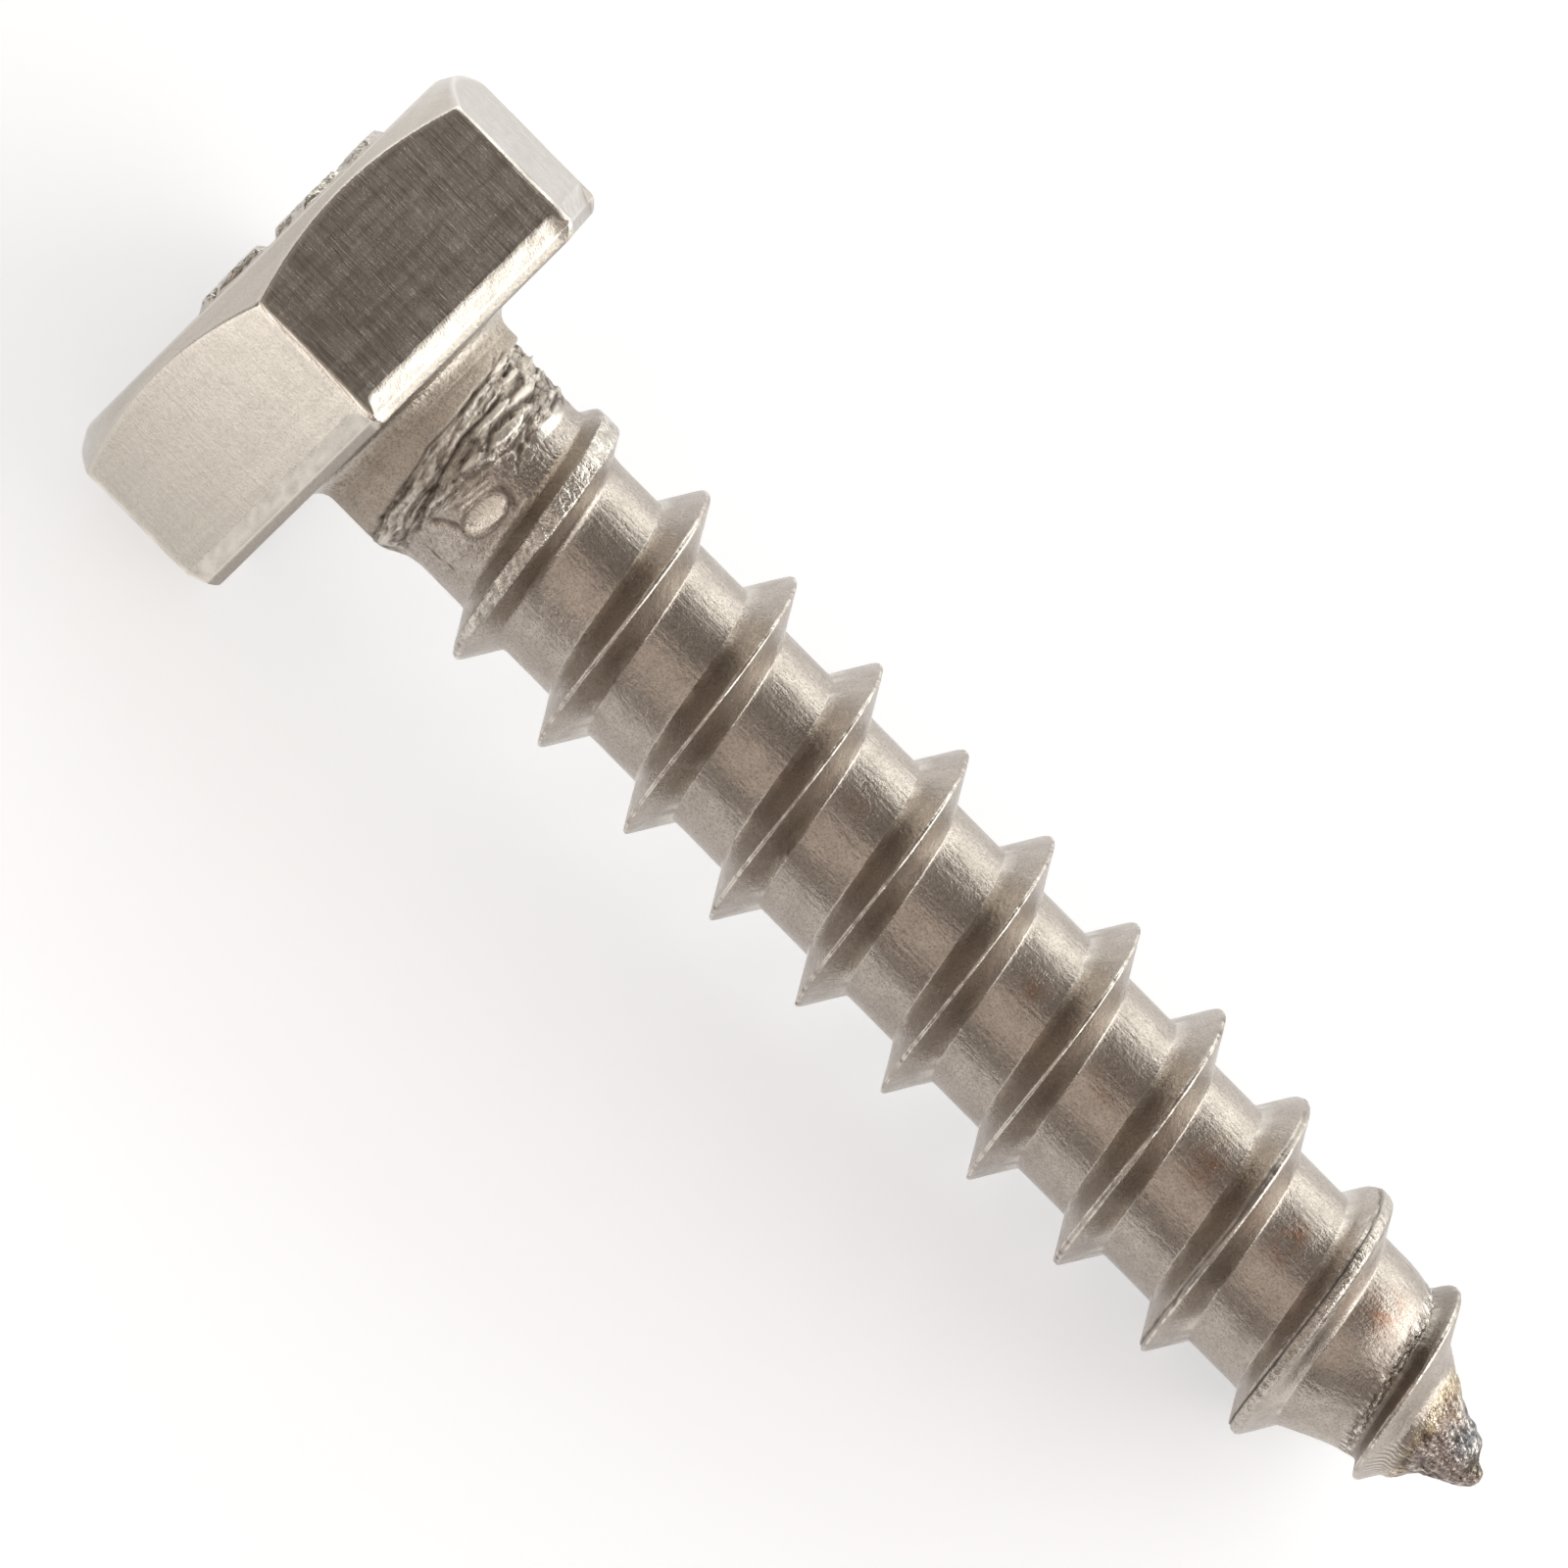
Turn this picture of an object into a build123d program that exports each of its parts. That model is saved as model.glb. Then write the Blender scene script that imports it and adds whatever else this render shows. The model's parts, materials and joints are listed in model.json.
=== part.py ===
from build123d import *
import os
from math import atan, ceil, cos, degrees, radians, sin, tan

os.makedirs("parts", exist_ok=True)

# Hex lag screw, 1/4 in by 1-1/4 in, ten threads to the inch, cold formed in one piece.
# It is modelled on its own axis: the bearing face under the head is at z = 0, the head is
# below it, +Z runs to the point and +X is square to one flat. The last block lays it down.

# Head
across_flats = 10.91
head_height = 4.27
top_circle_diameter = 10.2  # flat circle left inside the top chamfer
top_chamfer_angle = 30  # from the flat top
bearing_bevel = 0.3  # bevel round the bearing side
neck_shoulder = 0.25  # bevel between the bearing face and the neck

# Raised marks on the top: a plain open ring of pads
pad_count = 6
pad_circle_diameter = 6.2
pad_length = 1.3
pad_width = 0.85
pad_height = 0.22
pad_first_angle = -177  # about the axis, from the +X flat
pad_ring_angle = 210  # from the first pad to the last

# Shank
length = 31.8  # under the head
neck_diameter = 5.1
neck_length = 1.35
runout_length = 1.5  # from the neck down to the full depth of the thread
root_diameter = 4.43
point_length = 4.0  # the gimlet point's cone
nib_diameter = 0.42  # where the cone ends in a blunt nib
nib_length = 0.16
nib_flat = 0.16

# Thread, right hand
thread_diameter = 6.27
pitch = 2.54
flank_angle = 30  # each flank, from the plane across the axis
crest_flat = 0.08  # on a full crest
crest_phase = 1.188  # a crest passes the +X flat at this depth, plus whole pitches
first_crest_diameter = 5.44  # the half-filled crest of the first turn
last_crest_diameter = 5.84  # the flattened crest before the point
point_crest_height = 0.66  # over the core, half way down the point
foot_depth = 0.1  # how far the ridge's foot is sunk into the core

apothem = across_flats / 2
top_circle_radius = top_circle_diameter / 2
cone_reach = across_flats  # well outside the hexagon's corners
cone_drop = (cone_reach - top_circle_radius) * tan(radians(top_chamfer_angle))
root_radius = root_diameter / 2
neck_radius = neck_diameter / 2
crest_radius = thread_diameter / 2
nib_radius = nib_diameter / 2
cone_start = length - point_length
nib_start = length - nib_length
cone_slope = (root_radius - nib_radius) / (nib_start - cone_start)
flank_slope = tan(radians(flank_angle))
sharp_radius = crest_radius + crest_flat / 2 / flank_slope  # where the two flanks would meet


def core_radius(depth):
    """Radius of the core under the thread, at this depth below the bearing face."""
    return root_radius - cone_slope * max(0, depth - cone_start)


# Height of the crest, as (depth, radius). It rises out of the neck over the first turn and a
# half, is full along the shank, flattened in the last turn, and follows the cone to the nib.
half_way = cone_start + 0.52 * point_length
thread_end = cone_start + 0.86 * point_length
crest_line = [
    (neck_length - 0.1 * pitch, neck_radius - 0.1),
    (neck_length + 0.25 * pitch, neck_radius + 0.08),
    (neck_length + 0.8 * pitch, first_crest_diameter / 2),
    (neck_length + 1.25 * pitch, crest_radius - 0.06),
    (neck_length + 1.5 * pitch, crest_radius),
    (cone_start - 1.1 * pitch, crest_radius),
    (cone_start - 0.6 * pitch, last_crest_diameter / 2),
    (cone_start, last_crest_diameter / 2),
    (cone_start + 0.19 * point_length, last_crest_diameter / 2 - 0.3),
    (half_way, core_radius(half_way) + point_crest_height),
    (thread_end, core_radius(thread_end)),
]

# The same way down for the sharp edge where the flanks would meet, just over that height
sharp_line = [
    (crest_line[0][0], sharp_radius),
    (cone_start - pitch / 2, sharp_radius),
    (cone_start, sharp_radius),
    (half_way, core_radius(half_way) + point_crest_height + crest_flat),
    (thread_end, core_radius(thread_end) + crest_flat / 2),
]


def in_turns(line):
    """The same line with each stretch in equal steps of one turn of the thread at most."""
    stations = []
    for (depth, radius), (next_depth, next_radius) in zip(line, line[1:]):
        steps = ceil((next_depth - depth) / pitch)
        for step in range(steps):
            share = step / steps
            stations.append((depth + (next_depth - depth) * share, radius + (next_radius - radius) * share))
    return stations + [line[-1]]


def ridge_section(depth, sharp):
    """The ridge's V where its edge is at this depth, as (depth, radius): foot, edge, foot."""
    foot = max(nib_radius / 4, core_radius(depth + pitch / 2) - foot_depth)
    half_width = (sharp - foot) * flank_slope
    return [(depth - half_width, foot), (depth, sharp), (depth + half_width, foot)]


def turn_angle(depth):
    """Angle about the axis, from the +X flat, at which the crest reaches this depth."""
    return 360 * (depth - crest_phase) / pitch


def helix_edge(start, end, start_angle, end_angle):
    """A helix from one (depth, radius) to another, turning steadily from angle to angle."""
    (start_depth, start_radius), (end_depth, end_radius) = start, end
    drop = end_depth - start_depth
    cone_angle = degrees(atan((end_radius - start_radius) / drop))
    advance = drop * 360 / (end_angle - start_angle)
    helix = Edge.make_helix(
        advance / cos(radians(cone_angle)), drop, start_radius, (0, 0, start_depth), angle=cone_angle
    )
    return helix.rotate(Axis.Z, start_angle)


def ridge_cap(section, angle):
    """The flat end of the ridge, in the plane through the axis at this angle."""
    corners = [Vector(radius, 0, depth).rotate(Axis.Z, angle) for depth, radius in section]
    return Face(Wire.make_polygon(corners))


# Ridge of the thread: ruled faces between the helices of its feet and its edge, turn by turn
stations = in_turns(sharp_line)
sections = [ridge_section(depth, sharp) for depth, sharp in stations]
angles = [turn_angle(depth) for depth, sharp in stations]
ridge_faces = [ridge_cap(sections[0], angles[0]), ridge_cap(sections[-1], angles[-1])]
for turn in range(len(stations) - 1):
    helices = [
        helix_edge(start, end, angles[turn], angles[turn + 1])
        for start, end in zip(sections[turn], sections[turn + 1])
    ]
    for side in range(3):
        ridge_faces.append(Face.make_surface_from_curves(helices[side], helices[side - 1]))
sharp_ridge = Solid(Shell(ridge_faces))

# Head: hexagon, chamfered round the top by a cone and bevelled at the bearing side
with BuildPart() as head:
    with BuildSketch(Plane.XY.offset(-head_height)):
        RegularPolygon(apothem, 6, major_radius=False, rotation=30)
    extrude(amount=head_height)
    chamfer(head.faces().sort_by(Axis.Z)[-1].edges(), bearing_bevel)
    with BuildSketch(Plane.XZ):
        with BuildLine():
            Polyline(
                (0, 0),
                (0, -head_height),
                (top_circle_radius, -head_height),
                (cone_reach, cone_drop - head_height),
                (cone_reach, 0),
                close=True,
            )
        make_face()
    revolve(axis=Axis.Z, mode=Mode.INTERSECT)
    with BuildSketch(Plane.XY.offset(-head_height)):
        with PolarLocations(pad_circle_diameter / 2, pad_count, pad_first_angle, pad_ring_angle, endpoint=True):
            Rectangle(pad_width, pad_length)
    extrude(amount=-pad_height)

# Thread: the ridge, cut down to the height that the crest really has
with BuildPart() as thread:
    with BuildSketch(Plane.XZ):
        with BuildLine():
            outline = [(radius, depth) for depth, radius in crest_line]
            Polyline((0, crest_line[0][0]), *outline, (0, thread_end), close=True)
        make_face()
    revolve(axis=Axis.Z)
    add(sharp_ridge, mode=Mode.INTERSECT)

# Shank and head in one: neck, run-out, root and cone turned about the axis, then the thread
with BuildPart() as screw:
    with BuildSketch(Plane.XZ):
        with BuildLine():
            Polyline(
                (0, -head_height / 2),
                (neck_radius, -head_height / 2),
                (neck_radius, neck_length),
                (root_radius, neck_length + runout_length),
                (root_radius, cone_start),
                (nib_radius, nib_start),
                (nib_flat / 2, length),
                (0, length),
                close=True,
            )
        make_face()
    revolve(axis=Axis.Z)
    add(head.part)
    neck_corner = screw.edges().filter_by(GeomType.CIRCLE).filter_by_position(Axis.Z, -0.01, 0.01)
    chamfer(neck_corner, neck_shoulder)
    add(thread.part)

# At rest it lies on a flat of the head and on the crests, so the axis slopes down to the point
rest_slope = min((apothem - radius) / (depth + bearing_bevel) for depth, radius in crest_line)
dip = atan(rest_slope)
resting = Plane((0, 0, 0), x_dir=(sin(dip), 0, cos(dip)), z_dir=(cos(dip), 0, -sin(dip))).location
box = (resting * screw.part).bounding_box()
on_the_floor = Pos(-box.center().X, -box.center().Y, -box.min.Z) * resting

with BuildPart() as lag_screw:
    add(on_the_floor * screw.part)

lag_screw.part.label = "lag_screw"
export_step(lag_screw.part, "parts/lag_screw.step")
print(f"axis dips {degrees(dip):.3f} degrees, bearing face centred at {on_the_floor.position}")
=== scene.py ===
import json
import math
from functools import partial

import bmesh
import bpy
import numpy as np
from mathutils import Matrix, Vector


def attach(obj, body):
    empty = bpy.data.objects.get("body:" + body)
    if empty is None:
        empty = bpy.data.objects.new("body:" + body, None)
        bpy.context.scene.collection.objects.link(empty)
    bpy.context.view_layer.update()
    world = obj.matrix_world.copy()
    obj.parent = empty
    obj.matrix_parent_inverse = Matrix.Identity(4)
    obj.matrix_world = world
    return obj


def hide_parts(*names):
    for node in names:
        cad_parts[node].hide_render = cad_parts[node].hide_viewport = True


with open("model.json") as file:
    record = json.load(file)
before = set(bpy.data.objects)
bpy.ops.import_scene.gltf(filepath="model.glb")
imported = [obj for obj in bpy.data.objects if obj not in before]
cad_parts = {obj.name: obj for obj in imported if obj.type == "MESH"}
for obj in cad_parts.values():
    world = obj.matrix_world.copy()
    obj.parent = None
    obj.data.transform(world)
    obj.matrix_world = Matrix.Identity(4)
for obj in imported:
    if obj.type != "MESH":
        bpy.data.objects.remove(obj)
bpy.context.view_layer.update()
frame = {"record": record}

# Where the screw lies, from the frame. Lengths below are in mm until place() turns them to metres.
bearingFace = next(m for m in frame["record"]["mounts"] if m["name"] == "bearing_face")
axisDir = np.array(bearingFace["axis"]) / np.linalg.norm(bearingFace["axis"])  # toward the point
sideDir = np.array([0.0, -1.0, 0.0])
flatDir = np.cross(sideDir, axisDir)  # out of the uppermost flat
mountOffset = 0.004  # metres from the axis to the mount, toward sideDir
bearingCentre = np.array(bearingFace["pos_m"]) - mountOffset * sideDir
dip = math.asin(-axisDir[2])  # slope of the axis down to the point
print("frame loaded")

# Angles are in degrees round the axis from the uppermost flat, depths from the bearing face. A line is its depths
# and then its radii.
lagScrew = {
    "columns": 204,
    "startColumn": 30,  # columns from where the strips of the thread start to the first corner
    "firstCorner": 150,
    "acrossFlats": 10.91, "cornerRounding": 0.16, "headHeight": 4.27,
    "topCircle": 5.1,  # radius of the flat top inside the chamfer
    "topChamfer": 30,
    "padCircle": 3.1, "padCount": 6, "padFirst": -177, "padRing": 210,
    "padLength": 1.3, "padWidth": 0.85, "padHeight": 0.22,
    # shallow and steep bevel at the bearing side, and where they start at a corner
    "bevelAtCorner": 0.31,
    "shallowLength": 0.345, "shallowDepth": 0.15,
    "steepLength": 0.255, "steepDepth": 0.26,
    "wornCorner": 90,  # here the bevels run through
    # for each side of the head, from the uppermost flat round
    "edgeRub": [1.0, 0.3, 0.7, 0.8, 0.6, 0.7],
    "sideScored": [1.0, 0.22, 0.7, 0.9, 0.6, 0.3],
    "topScored": 0.3,
    "neckRadius": 2.55, "underHeadFillet": 0.4, "rootRadius": 2.215, "length": 31.79,
    "pitch": 2.54, "flank": 30,
    "crestPhase": 1.188,  # depth at which a crest passes the uppermost flat
    "turns": 11,
    "footBefore": 0.66,  # from a crest back to where its strip starts
    "keptReach": 1.3,  # beside the last turn, where the end wedge's rows keep their distances
    "drawnTogether": ([26.5, 28.3, 30.2, 32.35], [1, 0.8, 0.8, 1]),  # rows near a crest, by its depth
    "crest": (  # height of the crest down the shank
        [1, 1.88, 1.99, 2.6, 3.25, 3.89, 4.5, 5.8, 7, 21, 22.3, 23.5, 24.9, 26.1, 27.47, 28.2, 28.55, 29.2,
         29.9, 30.5, 31, 31.4],
        [2.4, 2.56, 2.63, 2.67, 2.71, 2.84, 3.06, 3.09, 3.13, 3.135, 3.07, 3.05, 3.07, 2.87, 2.91, 2.72, 2.57, 2.22,
         1.79, 1.2, 0.78, 0.5],
    ),
    "sharp": (  # the same for the edge where the flanks would meet
        [1, 25.3, 27.6, 28.55, 29.9, 31, 31.6],
        [3.165, 3.165, 3.11, 2.66, 1.86, 0.82, 0.3],
    ),
    # core of the point, along the side turned up and along the side turned down
    "upSide": -67,
    "upperCore": (
        [27.75, 28.1, 28.6, 29, 29.54, 29.84, 30.25, 30.56, 30.83, 31.03, 31.23, 31.36, 31.48, 31.64, 31.79],
        [2.2, 2.13, 2, 1.8, 1.466, 1.28, 1.01, 0.85, 0.8, 0.71, 0.6, 0.44, 0.3, 0.24, 0.18],
    ),
    "lowerCore": (
        [27.6, 27.94, 28.21, 28.52, 28.82, 29.13, 29.43, 30.15, 30.36, 30.56, 30.66, 30.87, 31.07, 31.4, 31.6, 31.79],
        [2.215, 2.15, 2.03, 1.88, 1.74, 1.615, 1.53, 1.38, 1.285, 1.01, 0.835, 0.725, 0.59, 0.46, 0.32, 0.19],
    ),
    "tipRings": [(0.03, 0.86), (0.06, 0.62), (0.08, 0.32)],  # beyond the strips: how far, and share of radius
}

# Torn run-out of the thread round the neck
runOut = {
    # its edge toward the head and how wide it is, by angle
    "angle": [-90, -67, -23, 1, 20, 40, 55, 75, 106, 135, 165, 200, 240, 270],
    "start": [0.74, 0.72, 0.8, 0.87, 0.97, 1.1, 1.19, 1.3, 1.5, 1.58, 1.5, 1.25, 0.95, 0.74],
    "width": [1.7, 1.65, 1.55, 1.4, 1.15, 1.0, 0.9, 0.8, 0.75, 0.8, 1.0, 1.2, 1.5, 1.7],
    # radius of the torn zone, and height of its groove over the root, by share of the first turn
    "low": ([0, 0.1, 0.5, 0.62, 0.8, 0.95, 1.0], [2.54, 2.5, 2.4, 2.39, 2.42, 2.46, 2.54]),
    "groove": ([0, 0.08, 0.2, 0.45, 0.55, 0.63, 0.75, 1.0], [0, 0, 0.125, 0.165, 0.135, 0.075, 0, 0]),
    "plainRoot": (2.9, 4.2),  # depths it comes in between
    # chips of broken metal, with their breadth in degrees
    "chipLength": 0.17, "chipBreadth": 13, "fineLength": 0.08, "fineBreadth": 5,
    # patches pressed smooth and bright: angle, depth, half the angle, half the depth
    "smooth": [
        (-28, 0.84, 12, 0.09), (-28, 1.17, 10, 0.08), (-24, 1.6, 12, 0.14), (-3, 1.47, 16, 0.1), (-2, 1.91, 16, 0.15),
        (-20, 2.46, 27, 0.15), (-2, 2.62, 9, 0.08), (52, 1.47, 2.5, 0.05), (80, 1.45, 3, 0.06), (92, 1.72, 9, 0.12),
        (22, 1.85, 8, 0.1), (62, 1.6, 6, 0.05), (75, 1.78, 6, 0.04),
    ],
    # cracks and ridges: half the width, the height, how dirty or (below 0) how rubbed, and the path
    "marks": [
        (0.035, -0.04, 0.7, [(-33, 0.7), (-19, 0.82), (-5, 0.87), (16, 0.98), (32, 0.99), (40, 1.1), (62, 1.26),
                              (91, 1.48)]),
        (0.03, 0.03, -0.9, [(-20, 0.93), (-5, 0.96), (16, 1.08), (25, 1.12), (34, 1.16), (52, 1.36)]),
        (0.03, 0.025, -0.6, [(-14, 1.06), (-2, 1.16), (9, 1.22), (15, 1.27)]),
        (0.045, -0.06, 0.9, [(-14, 1.29), (-2, 1.36), (17, 1.36), (32, 1.53), (45, 1.69), (64, 1.87), (87, 2.01)]),
        (0.075, -0.07, 0.8, [(-36, 1.82), (-21, 1.69), (-4, 1.64), (5, 1.69), (13, 1.91)]),
        (0.05, -0.06, 1.0, [(-35, 1.0), (-25, 1.06)]),
        (0.075, -0.06, 0.7, [(-36, 1.28), (-28, 1.38), (-18, 1.44)]),
        (0.04, -0.05, 0.7, [(-42, 1.62), (-28, 1.82)]),
        (0.06, -0.07, 0.9, [(-55, 2.15), (-37, 2.22)]),
        (0.095, -0.1, 0.8, [(-16, 2.06), (-13, 2.22), (-9, 2.36)]),
        (0.085, -0.08, 0.7, [(-8, 2.18), (-3, 2.36)]),
        (0.08, -0.07, 0.6, [(-1, 2.27), (2, 2.5)]),
        (0.05, -0.045, 0.6, [(6, 2.35), (5, 2.56), (8, 2.69)]),
        (0.05, -0.035, 0.6, [(-25, 0.66), (-20, 0.78)]),
        (0.03, -0.035, 0.7, [(32, 1.5), (52, 1.58), (69, 1.7), (78, 1.94)]),
        (0.035, -0.04, 0.7, [(46, 1.77), (54, 1.84), (65, 1.98), (74, 2.1)]),
        (0.028, 0.04, -0.7, [(50, 1.68), (62, 1.77), (72, 1.92)]),
        (0.065, -0.07, 0.8, [(62, 2.16), (56, 2.33), (52, 2.69)]),
        (0.05, -0.04, 0.6, [(36, 2.21), (41, 2.42), (46, 2.3)]),
        (0.022, 0.03, -1.0, [(33, 1.7), (32, 1.98), (31, 2.25)]),
        (0.024, -0.03, 0.6, [(19, 2.25), (28, 2.24), (37, 2.33), (45, 2.56), (49, 2.73), (45, 2.96), (36, 3.08),
                              (28, 3.11)]),
        (0.075, -0.03, 0.6, [(19, 2.62), (18, 2.86), (21, 3.13)]),
        (0.035, -0.045, 0.6, [(80, 2.52), (79, 2.83), (77, 3.26)]),
        (0.024, 0.02, -0.6, [(-15, 3.19), (-9, 3.25), (3, 3.3)]),
        (0.028, -0.06, 1.0, [(-23, 3.45), (-12, 3.4), (-2, 3.36)]),
        (0.04, 0.03, -0.6, [(20, 1.98), (15, 2.11), (12, 2.32)]),
        (0.04, -0.03, 0.5, [(12, 2.06), (9, 2.18), (10, 2.35)]),
        (0.055, 0.035, -0.7, [(51, 1.45), (75, 1.45), (84, 1.7), (100, 1.76)]),
        (0.06, 0.03, -0.6, [(14, 3.17), (23, 3.27)]),
    ],
    # scooped oval and its striped neighbours, in the same way
    "scoop": (37, 2.82, 15, 0.33),
    "stripes": [(33, 2.4, 15, 0.2), (47, 2.03, 13, 0.19)],
    "stripeStep": 0.12,
}


# Smooth ramp: 0 below the low value, 1 above the high one, and t squared times (3 - 2t) between them
def ramp(value, low, high):
    t = np.clip((value - low) / (high - low), 0, 1)
    return t * t * (3 - 2 * t)


# The same the other way: 1 less the ramp
def fall(value, low, high):
    return 1 - ramp(value, low, high)


# The greater of two heights, with a rounded corner: the mean plus half the softened difference
def softMax(a, b, rounding):
    return 0.5 * (a + b + np.sqrt((a - b) ** 2 + rounding ** 2))


# The lesser in the same way: the mean less half the softened difference
def softMin(a, b, rounding):
    return 0.5 * (a + b - np.sqrt((a - b) ** 2 + rounding ** 2))


# 1 on a line, falling off on both sides: e to the power of -(distance / half width) squared
def bell(distance, halfWidth):
    return np.exp(-((distance / halfWidth) ** 2))


# Turn from one angle to another, between -180 and 180 degrees
def turnFrom(atAngle, angle):
    return (angle - atAngle + 180) % 360 - 180


# A value from -1 to 1 for each place of a lattice, the same on every run
def chance(i, j, k, seed):
    key = (i * 73856093) ^ (j * 19349663) ^ (k * 83492791) ^ (seed * 2654435761)
    key = key & 0xFFFFFFFF
    key = ((key ^ (key >> 15)) * 2246822519) & 0xFFFFFFFF
    key = ((key ^ (key >> 13)) * 3266489917) & 0xFFFFFFFF
    return (key ^ (key >> 16)) / 0xFFFFFFFF * 2 - 1


# Soft lumps: values at the corners of a cubic lattice, blended between them with a smooth ramp
def lumps(x, y, z, seed):
    x, y, z = np.broadcast_arrays(x, y, z)
    cell = [np.floor(v).astype(np.int64) for v in (x, y, z)]
    part = [v - c for v, c in zip((x, y, z), cell)]
    part = [t * t * (3 - 2 * t) for t in part]
    total = 0
    for corner in range(8):
        step = [(corner >> bit) & 1 for bit in range(3)]
        value = chance(cell[0] + step[0], cell[1] + step[1], cell[2] + step[2], seed)
        for axis in range(3):
            value = value * (part[axis] if step[axis] else 1 - part[axis])
        total = total + value
    return total


# The same on the skin of the shank, in cells of this size in mm
def skinLumps(angle, depth, radius, size, seed):
    a = np.radians(angle)
    return lumps(radius * np.cos(a) / size, radius * np.sin(a) / size, depth / size, seed)


# Broken metal: cells round scattered centres, each one a flat chip with its own tilt and height. The second result
# is 1 in the creases between chips.
def chips(x, y, seed):
    column, row = np.floor(x).astype(np.int64), np.floor(y).astype(np.int64)
    nearest, second, height = np.full(x.shape, 9.0), np.full(x.shape, 9.0), np.zeros(x.shape)
    for i in (-1, 0, 1):
        for j in (-1, 0, 1):
            pick = [chance(column + i, row + j, 0 * row, seed + n) for n in range(5)]
            offX = x - (column + i + 0.5 + 0.4 * pick[0])
            offY = y - (row + j + 0.5 + 0.4 * pick[1])
            away = np.hypot(offX, offY)
            plane = pick[2] * offX + pick[3] * offY + 0.45 * pick[4]
            closer = away < nearest
            second = np.where(closer, nearest, np.minimum(second, away))
            nearest = np.where(closer, away, nearest)
            height = np.where(closer, plane, height)
    return height, 1 - ramp(second - nearest, 0, 0.25)


# A point of the screw: centre + radius (cos angle, sin angle) across the axis + depth along it
def place(angle, depth, radius):
    a = np.radians(angle)[..., None]
    across = np.cos(a) * flatDir + np.sin(a) * sideDir
    return bearingCentre + 0.001 * (radius[..., None] * across + depth[..., None] * axisDir)


# A spot with soft sides: e to the power of -2.2 times the squared distance in half sizes
def spot(angle, depth, atAngle, atDepth, halfAngle, halfDepth):
    return np.exp(-2.2 * ((turnFrom(atAngle, angle) / halfAngle) ** 2 + ((depth - atDepth) / halfDepth) ** 2))


# Distance in mm from a path of straight runs on the skin, unrolled at the neck's radius
def pathDistance(angle, depth, path):
    mmPerDegree = math.radians(1) * lagScrew["neckRadius"]
    nearest = np.full(np.shape(depth), 9.0)
    for (fromAngle, fromDepth), (toAngle, toDepth) in zip(path, path[1:]):
        x = turnFrom(fromAngle, angle) * mmPerDegree
        y = depth - fromDepth
        runX, runY = (toAngle - fromAngle) * mmPerDegree, toDepth - fromDepth
        t = np.clip((x * runX + y * runY) / (runX ** 2 + runY ** 2), 0, 1)
        nearest = np.minimum(nearest, np.hypot(x - t * runX, y - t * runY))
    return nearest


# A new object in the scene
def addObject(name, data):
    thing = bpy.data.objects.new(name, data)
    bpy.context.scene.collection.objects.link(thing)
    return thing


# A list of values as one column, for the rows of a grid
def asColumn(values):
    return np.array(values)[:, None]


# The value of the head's side that each angle falls on
def bySide(values, angle):
    return np.array(values)[np.round(angle / 60).astype(int) % 6]


# Head: rings of points from the middle of the top round the edge to the neck
s = lagScrew
columns = s["columns"]
columnStep = 360 / columns
apothem = s["acrossFlats"] / 2
perFace = columns // 6
startAngle = s["firstCorner"] - s["startColumn"] * columnStep  # one of the head's columns too
evenAngle = startAngle + columnStep * np.arange(columns)

# Columns gathered at the corners of the hexagon
fromStart = np.arange(columns) - s["startColumn"]
corner = (fromStart + perFace // 2) // perFace
fromCorner = fromStart - perFace * corner
cornerAngle = s["firstCorner"] + 60 * corner
bent = np.interp(
    np.abs(fromCorner), [0, 1, 2, 3, 4, 5, 6, 8, perFace / 2], [0, 0.012, 0.024, 0.04, 0.065, 0.1, 0.15, 0.27, 1]
)
headAngle = cornerAngle + 30 * np.sign(fromCorner) * bent
away = (headAngle % 60) - 30  # angle from the nearest corner

# Side of the hexagon: apothem / cos(angle from the flat's middle), with an arc at each corner
rounding = s["cornerRounding"]
arcCentre = (apothem - rounding) / math.cos(math.radians(30))
arcEnd = math.degrees(math.atan2(rounding * 0.5, arcCentre + rounding * math.cos(math.radians(30))))
arcHalf = np.sqrt(np.maximum(rounding ** 2 - (arcCentre * np.sin(np.radians(away))) ** 2, 0))
arcReach = arcCentre * np.cos(np.radians(away)) + arcHalf
hexReach = np.where(np.abs(away) < arcEnd, arcReach, apothem / np.cos(np.radians(30 - np.abs(away))))

rings = {name: [] for name in ("angle", "depth", "radius", "rub", "dirt", "coarse")}


# Rub is 1 where the metal is rubbed bright or painted with a highlight, dirt where it is dirty or painted with shade,
# coarse where it is torn or pitted
def addRings(depth, radius, angle=headAngle, rub=0.0, dirt=0.0, coarse=0.0):
    angle = angle[None, :] if angle.ndim == 1 else angle
    rows = np.broadcast_arrays(angle, depth, radius, rub, dirt, coarse)
    for name, values in zip(rings, rows):
        rings[name].append(values)


# Top with its pads: each one a lumpy plateau in its own length and width, with worn shoulders
topRadius = [0.4, 1.0, 1.7, 2.3, 2.52, 2.6, 2.66, 2.71, 2.77, 2.86, 2.98, 3.1, 3.22, 3.34, 3.43, 3.49, 3.54, 3.6,
             3.68, 3.95, 4.35, 4.7, 4.95, 5.06]
r = np.repeat(asColumn(topRadius), columns, 1)
a = np.repeat(headAngle[None, :], len(topRadius), 0)
raised = np.zeros_like(r)
for pad in range(s["padCount"]):
    padAngle = s["padFirst"] + s["padRing"] * pad / (s["padCount"] - 1)
    turn = np.radians(turnFrom(padAngle, a))
    alongPad = np.abs(r * np.sin(turn)) / (s["padLength"] / 2)
    acrossPad = np.abs(r * np.cos(turn) - s["padCircle"]) / (s["padWidth"] / 2)
    plateau = fall(alongPad, 0.8, 1.08) * fall(acrossPad, 0.74, 1.12) * (np.cos(turn) > 0)
    raised = np.maximum(raised, plateau)
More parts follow.
